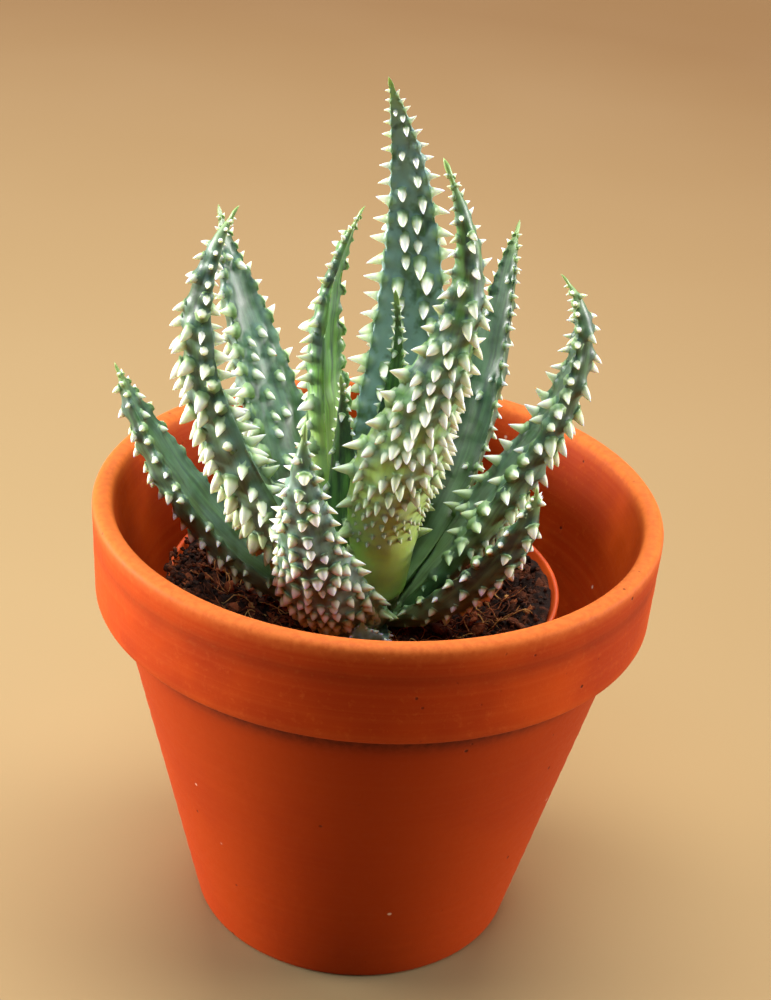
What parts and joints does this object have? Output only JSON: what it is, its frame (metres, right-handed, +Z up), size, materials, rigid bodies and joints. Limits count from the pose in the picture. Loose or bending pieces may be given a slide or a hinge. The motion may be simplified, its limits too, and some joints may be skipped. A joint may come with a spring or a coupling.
{
  "type": "potted aloe",
  "caption": "Small potted aloe: a rosette of fleshy toothed leaves in soil, in a plastic plant pot that stands inside a wider clay pot.",
  "frame": {"origin": "middle of the clay pot's foot, on the surface it stands on", "axes": "+Z up; +Y towards the back of the plant as the picture shows it, +X to its right"},
  "size_m": [0.09, 0.09, 0.1398],
  "materials": {
    "fired_clay": "matte",
    "orange_plastic": "satin",
    "potting_soil": "matte",
    "stem_bark": "matte",
    "leaf_skin": "satin",
    "young_leaf_skin": "satin"
  },
  "bodies": {
    "root": {"clay_pot": "fired_clay", "nursery_pot": "orange_plastic", "soil": "potting_soil", "stem": "stem_bark", "leaf_young_tall": "young_leaf_skin", "leaf_young_short": "young_leaf_skin", "leaf_tall_back": "leaf_skin", "leaf_middle_left": "young_leaf_skin", "leaf_tall_front": "young_leaf_skin", "leaf_tall_left": "leaf_skin", "leaf_behind_left": "leaf_skin", "leaf_back_right": "leaf_skin", "leaf_right": "leaf_skin", "leaf_front_left": "leaf_skin", "leaf_low_right": "leaf_skin", "leaf_low_left": "leaf_skin", "leaf_low_back": "leaf_skin", "leaf_low_back_left": "leaf_skin", "leaf_new_front": "leaf_skin"}
  },
  "joints": []
}
